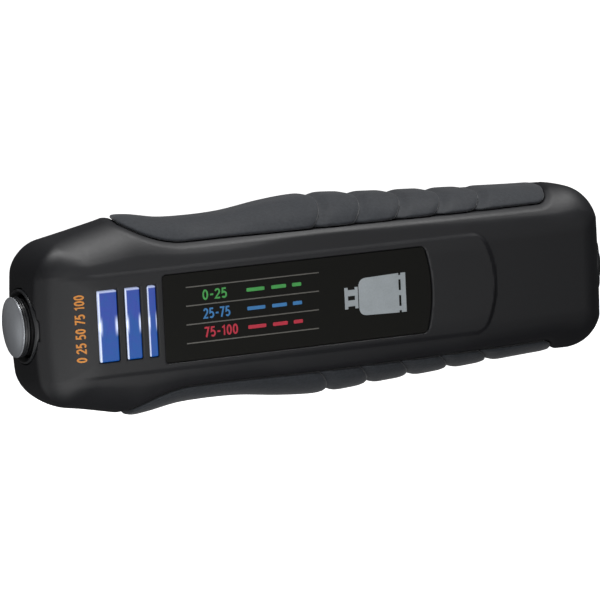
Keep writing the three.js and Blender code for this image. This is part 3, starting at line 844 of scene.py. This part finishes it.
# Strokes of each character in a box 0.56 wide and 1 high
CHARACTERS = {
    "0": [arc(0.28, 0.5, 0.23, 0.44, 0, 342, 18)],
    "1": [[(0.08, 0.76), (0.32, 0.94), (0.32, 0.0)]],
    "2": [arc(0.28, 0.69, 0.23, 0.25, 165, -35, 9) + [(0.05, 0.06), (0.56, 0.06)]],
    "5": [[(0.50, 0.94), (0.12, 0.94), (0.09, 0.54)] + arc(0.26, 0.33, 0.25, 0.27, 95, -140, 10)],
    "7": [[(0.02, 0.94), (0.51, 0.94), (0.20, 0.0)]],
    "-": [[(0.06, 0.46), (0.42, 0.46)]],
    " ": [],
}
ADVANCES = {" ": 0.40, "-": 0.60, "1": 0.64}


def figures_width(text):
    return sum(ADVANCES.get(c, 0.76) for c in text) - 0.2


def figures_mesh(text, place, height, z0, z1, width, turn=0.0):
    """Numerals as raised strokes. The place is the lower left corner, turn is in degrees."""
    stretch = width / (figures_width(text) * height)
    parts, start = [], 0.0
    c, s = math.cos(math.radians(turn)), math.sin(math.radians(turn))
    for character in text:
        for stroke in CHARACTERS[character]:
            flat = [((start + px) * height * stretch, py * height) for px, py in stroke]
            line = [(place[0] + c * px - s * py, place[1] + s * px + c * py) for px, py in flat]
            parts.append(ribbon_mesh(line, 0.17 * height, z0, z1, closed=character == "0"))
        start += ADVANCES.get(character, 0.76)
    return joined(parts)


def build_windows():
    for name in WINDOWS:
        low, high = box_mm(name)
        outline = oblong(low[0], high[0], low[1], high[1], 0.35)
        pane = mesh_object(name + "_pane", *plate_mesh(outline, low[2], high[2], 0.22))
        finish_piece(pane, WINDOW, "root", [name])


def build_panel():
    low, high = PANEL_LOW, PANEL_HIGH
    half = high[1]
    bow = [(high[0] - PANEL_BOW * (share * share), half * share) for share in np.linspace(-1, 1, 15)]
    outline = rounded([(low[0], -half)] + bow + [(low[0], half)], PANEL_CORNER, 3)
    panel = mesh_object("panel_face", *plate_mesh(outline, low[2], high[2], 0.18))
    finish_piece(panel, PANEL, "root", ["display_panel"])
    z0, z1 = high[2] - 0.04, high[2] + 0.035

    def ink(name, mesh, material):
        finish_piece(mesh_object(name, *mesh), material, "root")

    row_pitch, top_row = 4.3, 6.8
    rules = []
    for row in range(4):
        y = top_row - row * row_pitch
        outline = oblong(-35.5 - 0.12 * row, -2.3 - 0.2 * row, y - 0.13, y + 0.13)
        rules.append(plate_mesh(outline, z0, z1, 0.02))
    ink("panel_rules", joined(rules), RULE)
    rows = [("green", GREEN, "0-25", 5.9), ("blue", BLUE, "25-75", 6.5), ("red", RED, "75-100", 8.2)]
    for row, (colour, material, text, width) in enumerate(rows):
        y = 4.65 - row * row_pitch
        figures = figures_mesh(text, (-31.4, y - 1.15), 2.3, z0, z1, width=width)
        ink("figures_" + colour, figures, material)
        dashes = []
        for x, length in ((-18.3, 4.5), (-12.5, 3.7), (-8.0, 2.3)):
            outline = oblong(x - length / 2, x + length / 2, y - 0.42, y + 0.42, 0.25, 3)
            dashes.append(plate_mesh(outline, z0, z1, 0.02))
        ink("dashes_" + colour, joined(dashes), material)

    # bottle lying on its side: valve guard, body and foot ring
    bottle = [plate_mesh(bottle_outline(), z0, z1, 0.02)]
    for x0, x1, y0, y1 in (
        (3.9, 4.75, -2.5, 2.5), (6.5, 7.3, -2.5, 2.5), (4.75, 6.5, 0.5, 1.9), (4.75, 6.5, -1.9, -0.5),
        (18.25, 19.5, -4.6, 4.6), (17.7, 18.25, 3.1, 4.1), (17.7, 18.25, -4.1, -3.1),
        (17.7, 18.25, -0.6, 0.6),
    ):
        bottle.append(plate_mesh(oblong(x0, x1, y0, y1), z0, z1, 0.02))
    ink("bottle_icon", joined(bottle), GREY)


def bottle_outline():
    """Body of the bottle: two round shoulders and a square foot."""
    top = rounded([(17.7, 4.6), (7.5, 4.3), (7.5, 0.0)], 2.0, 6, closed=False)
    bottom = rounded([(7.5, 0.0), (7.5, -4.3), (17.7, -4.6)], 2.0, 6, closed=False)
    return top[:-1] + bottom


def build_shell_scale():
    """Row of orange numerals across the head, read with the head to the left."""
    text = "0 25 50 75 100"
    length, start_x, height = 15.2, -60.4, 2.2
    place = (start_x, -length / 2)
    vertices, faces = figures_mesh(text, place, height, -0.06, 0.09, turn=90, width=length)
    x, y, lift = np.array([tuple(v) for v in vertices]).T
    # the numerals follow the shell where it rolls down to the nose
    z = np.full(len(x), TOP_Z)
    for _ in range(12):
        z = z - front_shell(x, y, z)
    mesh = mesh_object("scale_orange", list(zip(x, y, z + lift)), faces)
    finish_piece(mesh, ORANGE, "root")


def build_rating_plate():
    outline = oblong(-47.2, -6.8, -9.2, 9.2, 1.4)
    vertices, faces = plate_mesh(outline, 0, 0.3, 0.08)
    vertices = [(x, -y, 0.45 - z) for x, y, z in vertices]
    plate = mesh_object("rating_plate_blank", vertices, faces)
    finish_piece(plate, LABEL, "root")


build_housing()
build_screws()
build_sensor()
build_button()
build_windows()
build_panel()
build_shell_scale()
build_rating_plate()

# CAD parts that show through the battery opening or between the pieces keep their own shape
CARRIED = {
    "led_wide": WHITE, "led_middle": WHITE, "led_narrow": WHITE, "light_box": WHITE,
    "sensor_seal": SEAL, "sensor_plunger": DARK, "transducer_disc": BRASS, "sensor_spring": STEEL,
    "sensor_guide": DARK, "sensor_lead_left": LEAD_RED, "sensor_lead_right": LEAD_BLACK,
    "switch_body": DARK, "switch_stem": WHITE, "contact_spring_1": STEEL, "contact_spring_2": STEEL,
    "contact_positive": STEEL, "contact_negative": STEEL, "contact_bridge": STEEL,
    "main_board": BOARD, "controller_chip": DARK,
    "battery_1": cell_label("cell_1", -1), "battery_2": cell_label("cell_2", 1),
}
for carried, paint in CARRIED.items():
    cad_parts[carried].data.materials.clear()
    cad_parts[carried].data.materials.append(paint)


# ---------- floor, light, camera ----------
def add_floor():
    """Pale floor with an even glow.

    It is hidden from diffuse and glossy rays, so it doesn't light the object or mirror in it.
    """
    half, z = 3000, -0.02
    corners = [(-half, -half, z), (half, -half, z), (half, half, z), (-half, half, z)]
    floor = mesh_object("floor", corners, [(0, 1, 2, 3)])
    paint, tree, shader, place = start_material("floor_paint", Roughness=0.9, Emission_Strength=1.0)
    shader.inputs["Emission Color"].default_value = (1, 1, 1, 1)
    speck = noise(tree, place, 12, 3)
    tree.links.new(mixed(tree, speck, (0.86, 0.86, 0.86), (0.88, 0.88, 0.88)), shader.inputs["Base Color"])
    floor.data.materials.append(paint)
    floor.visible_diffuse = False
    floor.visible_glossy = False


def area_light(name, place, target, size, power):
    light = bpy.data.lights.new(name, "AREA")
    light.shape = "RECTANGLE"
    light.size, light.size_y = size
    light.energy = power
    obj = bpy.data.objects.new(name, light)
    obj.location = place
    obj.rotation_euler = (Vector(target) - Vector(place)).to_track_quat("-Z", "Y").to_euler()
    bpy.context.collection.objects.link(obj)


TURN = math.radians(23.9)
TILT = math.radians(8.7)
ROLL = math.radians(2.7)
DISTANCE = 1.2
LENS = 310.3
SHIFT_X, SHIFT_Y = -0.0085, -0.0105


def add_camera():
    away = Vector((-math.sin(TURN) * math.cos(TILT), math.sin(TILT), math.cos(TURN) * math.cos(TILT)))
    level = Vector((math.cos(TURN), 0, math.sin(TURN)))
    up = away.cross(level)
    right_dir = level * math.cos(ROLL) - up * math.sin(ROLL)
    up_dir = level * math.sin(ROLL) + up * math.cos(ROLL)
    camera = bpy.data.cameras.new("camera")
    obj = bpy.data.objects.new("camera", camera)
    rotation = Matrix((right_dir, up_dir, away)).transposed()
    obj.matrix_world = Matrix.Translation(Vector((0, 0, 0.014)) + away * DISTANCE) @ rotation.to_4x4()
    camera.sensor_width = 36
    camera.lens = LENS
    camera.shift_x = SHIFT_X
    camera.shift_y = SHIFT_Y
    camera.clip_end = 20
    bpy.context.collection.objects.link(obj)
    bpy.context.scene.camera = obj


add_floor()
add_camera()
# places, targets and sizes in metres, power in watts
area_light("rim_light", (0.10, 0.80, 0.045), (0, 0, 0.01), (0.9, 0.08), 7.5)
area_light("face_light", (-0.066, -0.075, 0.130), (-0.058, 0, 0.02), (0.10, 0.14), 0.075)
area_light("sensor_light", (-0.60, -0.25, 0.02), (-0.07, 0, 0.01), (0.7, 0.7), 1.3)
area_light("fill_light", (-0.06, -0.04, 0.6), (0, 0, 0.01), (0.8, 1.2), 2.0)
world = bpy.data.worlds.new("studio")
world.use_nodes = True
world.node_tree.nodes["Background"].inputs[0].default_value = (1, 1, 1, 1)
world.node_tree.nodes["Background"].inputs[1].default_value = 0.06
bpy.context.scene.world = world
bpy.context.scene.view_settings.view_transform = "Standard"
